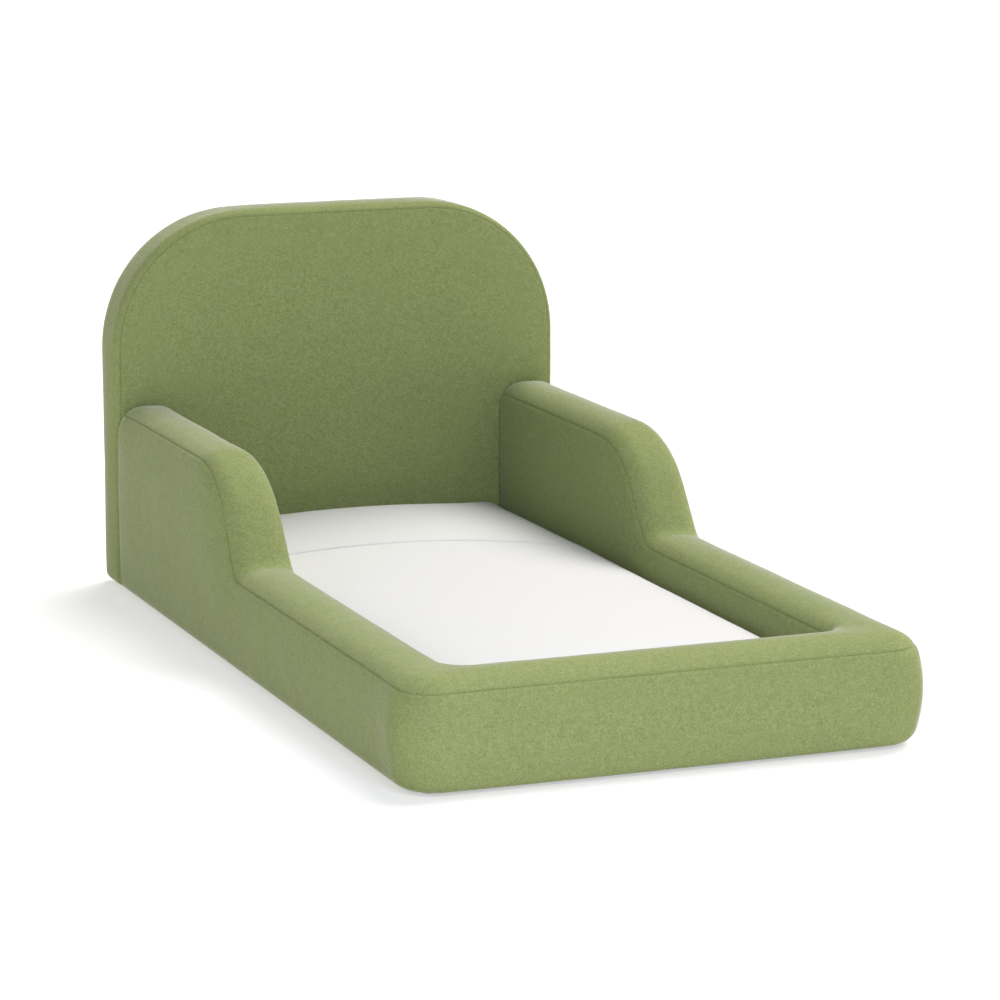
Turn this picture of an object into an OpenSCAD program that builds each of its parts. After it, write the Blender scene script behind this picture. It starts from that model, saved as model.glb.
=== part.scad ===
// Upholstered toddler bed: a padded headboard with round top corners, a padded surround whose
// arms step down to a low rail and run round the foot, and a mattress on a slatted base.
// +X is the bed's right side seen from the foot, +Y runs to the headboard, +Z is up.
// The origin is on the floor, under the middle of the bed.

/* [Overall] */
// Width over the side rails
bed_w = 970; // [940:5:1000]
// Length from the back of the headboard to the outside of the foot
bed_l = 1860; // [1850:5:1900]
// Height of the padded parts above the floor
floor_gap = 6; // [5:0.5:8]

/* [Headboard] */
// Height of the headboard's top above the floor
headboard_h = 780; // [740:5:840]
// Thickness over the padding
headboard_t = 124; // [122:1:130]
// Radius of the two top corners
headboard_r = 282; // [240:2:300]
// Radius of the two bottom corners
headboard_base_r = 30; // [29:1:40]
// Rounding of the front edge
front_r = 18; // [14:1:24]
// Rounding of the back edge
back_r = 28; // [24:1:30]

/* [Surround] */
// Thickness of the padded rails and arms
rail_w = 130; // [128:1:132]
// Height of the low rail's top
rail_h = 198; // [190:1:215]
// Height of the arms' top
arm_h = 380; // [360:5:420]
// Level length of an arm, from the headboard to where it starts to fall
arm_len = 535; // [480:5:580]
// Radius of the arm's shoulder
shoulder_r = 220; // [150:5:240]
// Radius of the hollow where the step meets the rail
toe_r = 48; // [40:1:60]
// Steepest angle of the step
step_angle = 54; // [48:1:60]
// Rounding of the top edges
edge_r = 34; // [24:1:36]
// Rounding of the outer bottom edge
base_r = 24; // [22:1:30]
// Outer radius of the two corners at the foot
corner_r = 72; // [70:1:90]
// Inner radius of the two corners at the foot
inner_corner_r = 28; // [24:1:34]

/* [Mattress] */
// Width of the mattress
mattress_w = 700; // [680:5:705]
// Length of the mattress
mattress_l = 1600; // [1560:5:1602]
// Height of the mattress at its edge
mattress_t = 92; // [84:1:100]
// Extra height along the middle of the mattress
crown = 24; // [8:1:26]
// Rounding of the mattress's top and bottom edges
mattress_edge_r = 20; // [14:1:26]
// Radius of the mattress's four corners
mattress_corner_r = 45; // [40:1:60]

/* [Slatted base] */
// Number of slats
slat_count = 11; // [9:1:11]
// Width of a slat
slat_w = 88; // [80:1:90]
// Thickness of a slat
slat_t = 14; // [12:1:15]
// Width of a ledger, the batten that carries the slats
ledger_w = 30; // [24:1:34]
// Height of the ledgers and of the middle beam
ledger_h = 22; // [20:1:23]

/* [Upholstery] */
// Thickness of the sewn cover
cover_t = 2; // [1.5:0.5:2.5]
// Foam on the faces of the surround and round the edge of the headboard
foam_t = 18; // [17:0.5:19]
// Foam on the front of the headboard
front_foam_t = 30; // [26:1:32]

/* [Boards and fasteners] */
// Plywood of the surround
board_t = 15; // [12:1:15]
// Plywood on the front of the headboard
front_panel_t = 12; // [9:1:12]
// Plywood on the back of the headboard
back_panel_t = 9; // [6:1:9]
// Bendy ply laid over the boards' top edges
skin_t = 4; // [3:0.5:5]
// Radius of a bolt's shank
bolt_r = 4; // [3:0.5:4]
// Radius of a glide
glide_r = 14; // [10:1:16]

/* [Hidden] */
$fn = 48;
head_y = bed_l / 2;
foot_y = -bed_l / 2;
half_w = bed_w / 2;
face_y = head_y - headboard_t;
wood_z = floor_gap + 6;
sheet_t = 0.6;
fit_gap = 0.3;
foam_in = cover_t + 0.2;

// Across a rail, from its outer face: cover, foam, outer board, hollow, inner board, foam, cover
outer_s = cover_t + foam_t;
inner_s = rail_w - outer_s;
hollow_s = outer_s + board_t;
hollow_w = rail_w - 2 * hollow_s;
middle_s = rail_w / 2;
bare_s = inner_s + cover_t;
pad_q = 25;
skirt_z = 50;

// Through the headboard, from its front face
front_panel_y = face_y + cover_t + front_foam_t;
frame_y = front_panel_y + front_panel_t;
back_foam_y = head_y - back_r + (back_r - foam_in) * sin(45);
back_panel_y = back_foam_y - back_panel_t;
frame_depth = floor(10 * (back_panel_y - frame_y)) / 10;
headboard_wood_in = cover_t + foam_t + 2;

// The step from arm to rail, as distances from the headboard's face
drop = arm_h - rail_h;
slope_len = (drop - (shoulder_r + toe_r) * (1 - cos(step_angle))) / sin(step_angle);
step_end = arm_len + (shoulder_r + toe_r) * sin(step_angle) + slope_len * cos(step_angle);
side_len = face_y - foot_y - rail_w - inner_corner_r - 1;
board_len = face_y - foot_y - corner_r;

slat_z = wood_z + ledger_h;
mattress_z = slat_z + slat_t + fit_gap;
mattress_y = face_y - 2 - mattress_l / 2;
dome_side = 290;
dome_end = 100;
well_w = bed_w - 2 * bare_s;
base_y = foot_y + rail_w + inner_corner_r + 4;
base_len = face_y - 4 - base_y;
slat_pitch = (base_len - slat_w) / (slat_count - 1);

bolt_x = half_w - middle_s;
bolt_zs = [60, 180, 300];
end_block_t = 50;
tee_flange_t = 1.5;
well_r = 14;
tee_flange_r = 11;
tee_barrel_r = 5;
tee_len = 9;
well_depth = head_y - back_foam_y;
post_w = 60;
post_h = 560;
cross_len = 2 * bolt_x - post_w;

// Cross rails of the headboard's frame: [length, bottom, top]
TOP_RAIL = [420, 690, 750];
MIDDLE_RAIL = [cross_len, 330, 390];
BOTTOM_RAIL = [cross_len, wood_z, 72];

// Distances from the headboard's face to the blocks between the two boards of a side
block_ds = [330, 560, 830, 1120, 1400];
block_t = 45;
foot_block_xs = [-240, 0, 240];
block_drop = 4;
screw_zs = [50, 130];
board_screw_len = 40;
slat_screw_len = 30;
cap_q = pad_q + skin_t;

// Butt joints between the sheets of foam on a side, as distances from the headboard's face
glue_gap = 0.6;
foam_joint_ds = [arm_len + shoulder_r * sin(step_angle), step_end - toe_r * sin(step_angle), step_end];

SLATS = [for (i = [1:slat_count]) str("slat_", i < 10 ? "0" : "", i)];

fabric_green = [0.50, 0.54, 0.36];
foam_cream = [0.93, 0.90, 0.78];
ply_tan = [0.80, 0.66, 0.46];
pine = [0.86, 0.72, 0.50];
sheet_black = [0.12, 0.12, 0.13];
steel = [0.72, 0.73, 0.75];

// ---------------------------------------------------------------- swept solids

// Faces of a skin that joins each ring of n points to the next
function band_faces(n, m) =
    [for (i = [0:m - 2], j = [0:n - 1])
        let (k = (j + 1) % n, a = i * n, b = (i + 1) * n)
        each [[a + j, b + j, b + k], [a + j, b + k, a + k]]];

// A solid through a list of rings, each a list of the same number of points. Its flat ends are one
// face each, or the faces in ends, as indices into a ring.
module sweep(rings, ends = undef) {
    n = len(rings[0]);
    m = len(rings);
    first = is_undef(ends) ? [[for (j = [0:n - 1]) j]] : ends;
    last = [for (face = first) [for (j = [len(face) - 1:-1:0]) (m - 1) * n + face[j]]];
    polyhedron([for (r = rings) each r], concat(first, band_faces(n, m), last), convexity = 8);
}

// Ends for rings whose second half runs back beside the first
function strip_ends(n) = [for (j = [0:n / 2 - 2]) each [[j, j + 1, n - 2 - j], [j, n - 2 - j, n - 1 - j]]];

// Angles from a to b in n steps
function steps(a, b, n) = [for (i = [0:n]) a + (b - a) * i / n];

// ---------------------------------------------------------------- the headboard's outline

// The arch, inset by e, from its bottom left corner up and over to its bottom right: [x, z]
function arch(e, z) =
    let (r = headboard_r - e, x = half_w - headboard_r, top = headboard_h - headboard_r)
    concat(
        [[e - half_w, z]],
        [for (a = steps(180, 90, 12)) [-x + r * cos(a), top + r * sin(a)]],
        [for (a = steps(90, 0, 12)) [x + r * cos(a), top + r * sin(a)]],
        [[half_w - e, z]]);

// The arch with its two bottom corners rounded
function rounded_arch(e) =
    let (r = max(headboard_base_r - e, 0.5), x = half_w - e - r, z = floor_gap + e + r)
    concat(
        [for (p = arch(e, z)) p],
        [for (a = steps(-22.5, -90, 3)) [x + r * cos(a), z + r * sin(a)]],
        [for (a = steps(-90, -157.5, 3)) [-x + r * cos(a), z + r * sin(a)]]);

// Rings of the padded headboard's envelope, inset by e: [distance from the front face, inset]
function front_round(e) = [for (a = steps(90, 0, 4))
    [front_r - (front_r - e) * sin(a), front_r - (front_r - e) * cos(a)]];
function back_round(e, from, to) = [for (a = steps(from, to, (to - from) / 22.5))
    [headboard_t - back_r + (back_r - e) * sin(a), back_r - (back_r - e) * cos(a)]];

module headboard_envelope(e) {
    sweep([for (l = concat(front_round(e), back_round(e, 0, 90)))
        [for (p = rounded_arch(l[1])) [p[0], face_y + l[0], p[1]]]]);
}

// A flat board in the shape of the arch, from y towards the back
module arch_board(y, t, z) {
    translate([0, y + t, 0]) rotate([90, 0, 0]) linear_extrude(t) polygon(arch(headboard_wood_in, z));
}

// ---------------------------------------------------------------- the surround's path

// Stations along a side, from the headboard: [kind, distance or angle]
HIGH = 0;
SHOULDER = 1;
TOE = 2;
LOW = 3;
CORNER = 4;
SIDE = concat(
    [[HIGH, 0]],
    [for (a = steps(0, step_angle, 6)) [SHOULDER, a]],
    [for (a = steps(step_angle, 0, 3)) [TOE, a]],
    [[LOW, side_len]]);
TURN = [for (a = steps(0, 90, 6)) [CORNER, a]];

// A point q under the top surface, square to it: [distance from the headboard, height]
function top_point(st, q) =
    st[0] == HIGH ? [st[1], arm_h - q] :
    st[0] == SHOULDER ? [arm_len, arm_h - shoulder_r] + (shoulder_r - q) * [sin(st[1]), cos(st[1])] :
    st[0] == TOE ? [step_end, rail_h + toe_r] - (toe_r + q) * [sin(st[1]), cos(st[1])] :
    [st[1], rail_h - q];

// Plan position of the point s in from the outer face, on the side of the given sign
function plan(st, side, s, d) =
    st[0] != CORNER ? [side * (half_w - s), face_y - d] :
    let (n = [side * cos(st[1]), -sin(st[1])])
    s <= middle_s
        ? [side * (half_w - corner_r), foot_y + corner_r] + (corner_r - s) * n
        : [side * (half_w - rail_w - inner_corner_r), foot_y + rail_w + inner_corner_r]
            + (inner_corner_r + rail_w - s) * n;

// One section of the surround: each point is [s, q] under the top surface or [s, undef, z]
function ring(st, side, section) =
    [for (p = section)
        let (q = is_undef(p[1]) ? edge_r : p[1])
        let (level = st[0] == CORNER ? [0, rail_h - q] : top_point(st, q))
        let (xy = plan(st, side, p[0], level[0]))
        [xy[0], xy[1], is_undef(p[1]) ? p[2] : level[1]]];

function reversed(list) = [for (i = [len(list) - 1:-1:0]) list[i]];

// The skin of a rail inset by e: from under its outer edge, round that edge from the angle start,
// over the top and down the inside to the bottom
function rail_line(e, under, start, bare, bottom) =
    let (r = edge_r - e, b = base_r - e, base_z = floor_gap + base_r)
    concat(
        [[under, undef, base_z - b * sin(start)]],
        [for (a = steps(start, 0, start / 30)) [base_r - b * cos(a), undef, base_z - b * sin(a)]],
        [for (a = steps(0, 90, 3)) [edge_r - r * cos(a), edge_r - r * sin(a)]],
        [for (a = steps(90, 0, 3)) [rail_w - edge_r + r * cos(a), edge_r - r * sin(a)]],
        [[rail_w - e, undef, skirt_z + 8], [bare, undef, skirt_z + e], [bare, undef, bottom]]);

// ---------------------------------------------------------------- headboard

module bolt_holes(r) {
    for (side = [-1, 1], z = bolt_zs)
        translate([side * bolt_x, head_y + 1, z])
            rotate([90, 0, 0]) cylinder(h = headboard_t + end_block_t + 2, r = r);
}

module headboard_front_panel() {
    color(ply_tan) difference() {
        arch_board(front_panel_y, front_panel_t, wood_z);
        bolt_holes(bolt_r + 0.5);
    }
}

module headboard_back_panel() {
    color(ply_tan) difference() {
        arch_board(back_panel_y, back_panel_t, wood_z + 12);
        bolt_holes(bolt_r + 0.5);
    }
}

module headboard_post(side) {
    color(pine) difference() {
        translate([side * bolt_x - post_w / 2, frame_y, wood_z])
            cube([post_w, frame_depth, post_h - wood_z]);
        bolt_holes(bolt_r + 0.5);
    }
}

module headboard_rail(r) {
    color(pine) translate([-r[0] / 2, frame_y, r[1]]) cube([r[0], frame_depth, r[2] - r[1]]);
}

module headboard_front_foam() {
    depth = front_panel_y - face_y;
    color(foam_cream) difference() {
        sweep([for (l = concat(front_round(foam_in), [[depth, foam_in]]))
            [for (p = arch(l[1], floor_gap + headboard_base_r)) [p[0], face_y + l[0], p[1]]]]);
        bolt_holes(bolt_r + 0.5);
    }
}

module headboard_edge_foam() {
    start = front_panel_y - face_y;
    section = concat(
        [[start, foam_in]],
        back_round(foam_in, 0, 45),
        [[back_foam_y - face_y, headboard_wood_in], [start, headboard_wood_in]]);
    outlines = [for (p = section)
        [for (o = arch(p[1], floor_gap + headboard_base_r)) [o[0], face_y + p[0], o[1]]]];
    color(foam_cream) sweep([for (i = [0:len(outlines[0]) - 1]) [for (o = reversed(outlines)) o[i]]]);
}

// Round openings at the back, wide enough for a bolt's washer
module bolt_wells(depth) {
    for (side = [-1, 1], z = bolt_zs)
        translate([side * bolt_x, head_y + 1, z]) rotate([90, 0, 0]) cylinder(h = depth + 1, r = well_r);
}

module headboard_back_foam() {
    color(foam_cream) difference() {
        sweep([for (l = back_round(foam_in, 45, 90))
            [for (p = arch(l[1], floor_gap + headboard_base_r)) [p[0], face_y + l[0], p[1]]]]);
        bolt_wells(well_depth + 1);
    }
}

module headboard_cover() {
    color(fabric_green) difference() {
        headboard_envelope(0);
        headboard_envelope(cover_t);
        translate([back_r + 8 - half_w, face_y + front_r + 6, 0])
            cube([bed_w - 2 * (back_r + 8), headboard_t - front_r - back_r - 12, floor_gap + cover_t + 2]);
        bolt_wells(well_depth);
        bolt_holes(bolt_r + 0.5);
    }
}

module headboard_dust_cover() {
    color(sheet_black) translate([back_r - half_w, face_y + front_r, floor_gap - sheet_t])
        cube([bed_w - 2 * back_r, headboard_t - front_r - back_r, sheet_t]);
}

// ---------------------------------------------------------------- surround

// Outline of a side board: [distance from the headboard, height]
function side_outline(q, length, z) = concat(
    [[fit_gap, z], [fit_gap, arm_h - q]],
    [for (st = SIDE) if (st[0] == SHOULDER || st[0] == TOE) top_point(st, q)],
    [[length, rail_h - q], [length, z]]);

// A flat plate standing along a side: outline in distance and height, from s across by t
module side_plate(side, s, t, outline) {
    translate([side > 0 ? half_w - s - t : s - half_w, face_y, 0])
        rotate([90, 0, 90]) linear_extrude(t) polygon([for (p = outline) [-p[0], p[1]]]);
}

module outer_board(side) {
    color(ply_tan) side_plate(side, outer_s, board_t, side_outline(cap_q, board_len, wood_z));
}

module inner_board(side) {
    color(ply_tan) side_plate(side, inner_s - board_t, board_t,
        side_outline(cap_q, face_y - foot_y - inner_s + board_t, wood_z));
}

module foot_board(s, half_length) {
    color(ply_tan) translate([-half_length, foot_y + s, wood_z])
        cube([2 * half_length, board_t, rail_h - cap_q - wood_z]);
}

module top_skin(side) {
    length = face_y - foot_y - inner_s;
    outline = side_outline(pad_q, length, rail_h - cap_q);
    over = [for (i = [1:len(outline) - 2]) outline[i]];
    under = side_outline(cap_q, length, rail_h - cap_q);
    color(ply_tan) side_plate(side, outer_s, inner_s - outer_s,
        concat(over, reversed([for (i = [1:len(under) - 2]) under[i]])));
}

module foot_top_skin() {
    half_length = half_w - corner_r;
    color(ply_tan) translate([-half_length, foot_y + outer_s, rail_h - cap_q])
        cube([2 * half_length, inner_s - outer_s, skin_t]);
}

// Top of a block at distance d from the headboard, t thick
function block_top(d) =
    (d < arm_len ? arm_h : d < step_end ? rail_h + drop / 3 : rail_h) - cap_q - block_drop;

module side_block(side, d, t, top) {
    x = side > 0 ? half_w - hollow_s - hollow_w : hollow_s - half_w;
    translate([x, face_y - d - t, wood_z]) cube([hollow_w, t, top - wood_z]);
}

module side_spacers(side) {
    color(pine) for (d = block_ds) side_block(side, d, block_t, block_top(d + block_t));
}

module foot_spacers() {
    color(pine) for (x = foot_block_xs)
        translate([x - block_t / 2, foot_y + hollow_s, wood_z])
            cube([block_t, hollow_w, rail_h - cap_q - block_drop - wood_z]);
}

module end_block(side) {
    color(pine) difference() {
        side_block(side, fit_gap, end_block_t, arm_h - cap_q - block_drop);
        bolt_holes(bolt_r + 0.5);
        for (z = bolt_zs)
            translate([side * bolt_x, face_y - end_block_t + tee_len + 1, z])
                rotate([90, 0, 0]) cylinder(h = tee_len + 3, r = tee_barrel_r + 0.2);
    }
}

module corner_block(side) {
    r = (corner_r - outer_s) * cos(7.5) - 0.1;
    color(pine) translate([side * (half_w - corner_r), foot_y + corner_r, wood_z])
        intersection() {
            cylinder(h = rail_h - pad_q - wood_z, r = r);
            translate([side > 0 ? 0 : -r, -r, 0]) cube([r, r, rail_h]);
        }
}

// The foam's section: rail skin outside, boards inside
FOAM_SECTION = concat(
    rail_line(foam_in, outer_s, 60, inner_s, skirt_z + foam_in),
    [[inner_s, pad_q], [outer_s, pad_q]]);

module side_foam(side) {
    stations = concat([[HIGH, fit_gap]], [for (i = [1:len(SIDE) - 1]) SIDE[i]]);
    rings = [for (st = stations) ring(st, side, FOAM_SECTION)];
    color(foam_cream) difference() {
        sweep(side > 0 ? rings : reversed(rings));
        for (d = foam_joint_ds)
            translate([-half_w - 1, face_y - d - glue_gap, 0]) cube([bed_w + 2, glue_gap, arm_h + 1]);
    }
}

module foot_foam() {
    stations = concat([SIDE[len(SIDE) - 1]], TURN);
    color(foam_cream) difference() {
        sweep(concat(
            [for (st = stations) ring(st, 1, FOAM_SECTION)],
            [for (st = reversed(stations)) ring(st, -1, FOAM_SECTION)]));
        for (side = [-1, 1]) translate([side * (half_w - rail_w - inner_corner_r), foot_y, 0])
            cube([glue_gap, 2 * rail_w, 2 * rail_h], center = true);
    }
}

module surround_cover() {
    outside = rail_line(0, base_r + 10, 90, bare_s, floor_gap);
    inside = rail_line(cover_t, base_r + 10, 90, inner_s, floor_gap);
    section = concat(outside, reversed(inside));
    color(fabric_green) sweep(concat(
        [for (st = concat(SIDE, TURN)) ring(st, 1, section)],
        [for (st = reversed(concat(SIDE, TURN))) ring(st, -1, section)]), strip_ends(len(section)));
}

module side_dust_cover(side) {
    width = bare_s - base_r;
    x = side > 0 ? half_w - base_r - width : base_r - half_w;
    color(sheet_black) translate([x, foot_y + corner_r, floor_gap - sheet_t])
        cube([width, face_y - foot_y - corner_r, sheet_t]);
}

module foot_dust_cover() {
    color(sheet_black) translate([0, foot_y, floor_gap - sheet_t]) {
        translate([corner_r - half_w, base_r, 0]) cube([bed_w - 2 * corner_r, corner_r - base_r, sheet_t]);
        translate([bare_s - half_w, corner_r - 1, 0])
            cube([bed_w - 2 * bare_s, bare_s - corner_r + 1, sheet_t]);
        for (side = [-1, 1]) translate([side * (half_w - corner_r), corner_r, 0]) intersection() {
            cylinder(h = sheet_t, r = corner_r - base_r);
            translate([side > 0 ? 0 : -corner_r, -corner_r, 0]) cube([corner_r, corner_r, sheet_t]);
        }
    }
}

// ---------------------------------------------------------------- slatted base

module ledger(side) {
    x = side > 0 ? half_w - bare_s - ledger_w : bare_s - half_w;
    color(pine) translate([x, base_y, wood_z]) cube([ledger_w, base_len, ledger_h]);
}

module slat(i) {
    color(pine) translate([fit_gap - well_w / 2, base_y + (i - 1) * slat_pitch, slat_z])
        cube([well_w - 2 * fit_gap, slat_w, slat_t]);
}

beam_w = 45;
beam_foot_ys = [for (i = [0:4]) base_y + 60 + i * (base_len - 120) / 4];

module middle_beam() {
    color(pine) translate([-beam_w / 2, base_y, wood_z]) cube([beam_w, base_len, ledger_h]);
}

module beam_feet() {
    color(pine) for (y = beam_foot_ys) translate([-beam_w / 2, y - 20, 0]) cube([beam_w, 40, wood_z]);
}

// ---------------------------------------------------------------- fasteners

washer_t = 1.6;
bolt_len = back_foam_y - face_y + end_block_t + 8;

module bolts() {
    color(steel) for (side = [-1, 1], z = bolt_zs)
        translate([side * bolt_x, back_foam_y + washer_t, z]) {
            rotate([90, 0, 0]) cylinder(h = bolt_len, r = bolt_r);
            rotate([-90, 0, 0]) difference() {
                cylinder(h = 4.4, r1 = 7, r2 = 4.5);
                translate([0, 0, 1.8]) cylinder(h = 4, r = 2.5, $fn = 6);
            }
        }
}

module washers() {
    color(steel) for (side = [-1, 1], z = bolt_zs)
        translate([side * bolt_x, back_foam_y + washer_t, z]) rotate([90, 0, 0]) difference() {
            cylinder(h = washer_t, r = 12);
            translate([0, 0, -1]) cylinder(h = washer_t + 2, r = bolt_r + 0.3);
        }
}

module tee_nuts() {
    color(steel) for (side = [-1, 1], z = bolt_zs)
        translate([side * bolt_x, face_y - fit_gap - end_block_t, z]) rotate([90, 0, 0]) difference() {
            union() {
                cylinder(h = tee_flange_t, r = tee_flange_r);
                translate([0, 0, -tee_len]) cylinder(h = tee_len + 1, r = tee_barrel_r);
            }
            translate([0, 0, -tee_len - 1]) cylinder(h = tee_len + 3, r = bolt_r + 0.05);
        }
}

// A countersunk wood screw whose head is at the origin, driven towards -Z
module wood_screw(length) {
    translate([0, 0, -length]) cylinder(h = length, r = 2);
    translate([0, 0, -3]) cylinder(h = 3, r1 = 2, r2 = 4);
}

module board_screws() {
    color(steel) {
        for (side = [-1, 1], d = block_ds, z = screw_zs)
            translate([0, face_y - d - block_t / 2, z]) {
                translate([side * (half_w - outer_s), 0, 0])
                    rotate([0, side * 90, 0]) wood_screw(board_screw_len);
                translate([side * (half_w - inner_s), 0, 0])
                    rotate([0, -side * 90, 0]) wood_screw(board_screw_len);
            }
        for (x = foot_block_xs, z = screw_zs)
            translate([x, foot_y, z]) {
                translate([0, outer_s, 0]) rotate([90, 0, 0]) wood_screw(board_screw_len);
                translate([0, inner_s, 0]) rotate([-90, 0, 0]) wood_screw(board_screw_len);
            }
    }
}

module ledger_screws() {
    x = half_w - bare_s - ledger_w;
    color(steel) for (side = [-1, 1], i = [1:slat_count - 1])
        translate([side * x, base_y + (i - 0.5) * slat_pitch + slat_w / 2, wood_z + ledger_h / 2])
            rotate([0, -side * 90, 0]) wood_screw(ledger_w + 12);
}

module slat_screws() {
    x = well_w / 2 - ledger_w / 2;
    color(steel) for (i = [1:slat_count], side = [-1, 1])
        translate([side * x, base_y + (i - 1) * slat_pitch + slat_w / 2, slat_z + slat_t])
            wood_screw(slat_screw_len);
}

// A nail-on glide under a block
module glide(x, y, grip) {
    translate([x, y, 0]) {
        cylinder(h = floor_gap - sheet_t - 1, r1 = glide_r - 1.5, r2 = glide_r);
        translate([0, 0, floor_gap - sheet_t - 1]) cylinder(h = 1, r = glide_r);
        cylinder(h = grip, r = 1.5);
    }
}

module glides() {
    grip = wood_z + 14;
    color([0.85, 0.84, 0.80]) {
        for (side = [-1, 1]) {
            for (d = concat([4], block_ds)) glide(side * bolt_x, face_y - d - block_t / 2, grip);
            glide(side * (half_w - corner_r + 16), foot_y + corner_r - 16, grip);
            glide(side * bolt_x, frame_y + frame_depth / 2, grip);
        }
        for (x = foot_block_xs) glide(x, foot_y + middle_s - 6, grip);
        glide(0, frame_y + frame_depth / 2, grip);
    }
}

// ---------------------------------------------------------------- mattress

// Rings of the mattress inset by e: [inset at the sides, inset at the ends, height]
function mattress_rings(e) =
    let (c = mattress_edge_r, r = c - e, top = mattress_z + mattress_t)
    concat(
        [for (a = steps(90, 0, 3)) [c - r * cos(a), c - r * cos(a), mattress_z + c - r * sin(a)]],
        [for (a = steps(0, 90, 3)) [c - r * cos(a), c - r * cos(a), top - c + r * sin(a)]],
        [for (f = [0.25, 0.5, 0.75, 1])
            [c + dome_side * f, c + dome_end * f, top - e + crown * (1 - pow(1 - f, 2))]]);

function mattress_outline(side_in, end_in) =
    let (r = max(mattress_corner_r - end_in, 6))
    let (x = mattress_w / 2 - side_in - r, y = mattress_l / 2 - end_in - r)
    [for (q = [0:3], a = steps(90 * q, 90 * q + 90, 5))
        [(q == 0 || q == 3 ? x : -x) + r * cos(a), (q < 2 ? y : -y) + r * sin(a)]];

module mattress_block(e) {
    translate([0, mattress_y, 0])
        sweep([for (l = mattress_rings(e)) [for (p = mattress_outline(l[0], l[1])) [p[0], p[1], l[2]]]]);
}

module mattress_core() {
    color(foam_cream) mattress_block(cover_t + fit_gap);
}

module mattress_cover() {
    color([0.95, 0.95, 0.94]) difference() {
        mattress_block(0);
        mattress_block(cover_t);
    }
}

// ---------------------------------------------------------------- drawn pieces

headboard_front_panel();
headboard_back_panel();
headboard_post(-1);  // headboard_left_post
headboard_post(1);  // headboard_right_post
headboard_rail(TOP_RAIL);  // headboard_top_rail
headboard_rail(MIDDLE_RAIL);  // headboard_middle_rail
headboard_rail(BOTTOM_RAIL);  // headboard_bottom_rail
headboard_front_foam();
headboard_edge_foam();
headboard_back_foam();
headboard_cover();
headboard_dust_cover();
outer_board(-1);  // left_outer_board
inner_board(-1);  // left_inner_board
outer_board(1);  // right_outer_board
inner_board(1);  // right_inner_board
foot_board(outer_s, half_w - corner_r);  // foot_outer_board
foot_board(inner_s - board_t, half_w - inner_s);  // foot_inner_board
side_spacers(-1);  // left_spacers
side_spacers(1);  // right_spacers
foot_spacers();
end_block(-1);  // left_end_block
end_block(1);  // right_end_block
corner_block(-1);  // left_corner_block
corner_block(1);  // right_corner_block
top_skin(-1);  // left_top_skin
top_skin(1);  // right_top_skin
foot_top_skin();
side_foam(-1);  // left_foam
side_foam(1);  // right_foam
foot_foam();
surround_cover();
side_dust_cover(-1);  // left_dust_cover
side_dust_cover(1);  // right_dust_cover
foot_dust_cover();
ledger(-1);  // left_ledger
ledger(1);  // right_ledger
middle_beam();
beam_feet();
for (i = [1:slat_count]) slat(i);
bolts();
washers();
tee_nuts();
board_screws();
ledger_screws();
slat_screws();
glides();
mattress_core();
mattress_cover();
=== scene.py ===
"""Upholstered toddler bed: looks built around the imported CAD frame.

Lengths are in millimetres until mesh_object() turns them into metres. Measures that no node's box gives,
such as EDGE_R, repeat the values of part.scad.
"""

import math

import bmesh
import bpy
import numpy as np
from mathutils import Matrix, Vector, noise


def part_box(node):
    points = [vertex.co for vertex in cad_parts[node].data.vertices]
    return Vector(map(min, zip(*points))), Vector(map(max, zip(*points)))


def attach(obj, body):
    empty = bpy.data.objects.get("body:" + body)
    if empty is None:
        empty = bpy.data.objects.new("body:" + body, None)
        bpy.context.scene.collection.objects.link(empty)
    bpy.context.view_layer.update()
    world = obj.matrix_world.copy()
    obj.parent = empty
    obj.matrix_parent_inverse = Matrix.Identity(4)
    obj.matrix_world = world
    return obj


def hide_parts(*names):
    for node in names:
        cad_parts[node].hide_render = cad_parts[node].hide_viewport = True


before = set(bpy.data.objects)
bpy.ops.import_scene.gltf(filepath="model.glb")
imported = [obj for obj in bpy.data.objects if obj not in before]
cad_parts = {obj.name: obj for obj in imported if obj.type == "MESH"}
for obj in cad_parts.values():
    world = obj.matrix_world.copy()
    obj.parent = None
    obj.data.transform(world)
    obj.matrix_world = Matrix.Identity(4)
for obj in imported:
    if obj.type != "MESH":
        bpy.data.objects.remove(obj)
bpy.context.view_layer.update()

MM = 0.001


def node_box(name):
    """Lowest and highest corner of a CAD node in millimetres."""
    low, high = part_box(name)
    return np.array(low) / MM, np.array(high) / MM


# ---- measures of the frame

surround_low, surround_high = node_box("surround_cover")
head_high = node_box("headboard_cover")[1]
mattress_low, mattress_high = node_box("mattress_cover")

HALF_W = surround_high[0]
FOOT_Y = surround_low[1]
FACE_Y = surround_high[1]
HEAD_Y = head_high[1]
BOTTOM_Z = surround_low[2]
ARM_H = surround_high[2]
HEAD_H = head_high[2]
HEAD_T = HEAD_Y - FACE_Y

HEAD_R = 282
FRONT_R = 18
BACK_R = 28
RAIL_W = 130
RAIL_H = 198
ARM_LEN = 535
SHOULDER_R = 220
TOE_R = 48
STEP_ANGLE = math.radians(54)
EDGE_R = 34
CORNER_R = 72
INNER_CORNER_R = 28
BARE_S = 112
SKIRT_Z = 50
BOLT_X = 420
BOLT_ZS = (60, 180, 300)

# ---- camera and light

scene = bpy.context.scene
scene.view_settings.view_transform = "Standard"
scene.view_settings.look = "None"
scene.view_settings.exposure = 0
scene.view_settings.gamma = 1

# Solved from the photograph's outline, in metres and pixels
CAMERA_AZIMUTH = math.radians(-21.505)
CAMERA_ELEVATION = math.radians(11.304)
CAMERA_DISTANCE = 7.508
CAMERA_TARGET = Vector((0.0443, 0.0, 0.3048))
FOCAL_PIXELS = 3916.5
IMAGE_PIXELS = 1000


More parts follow.
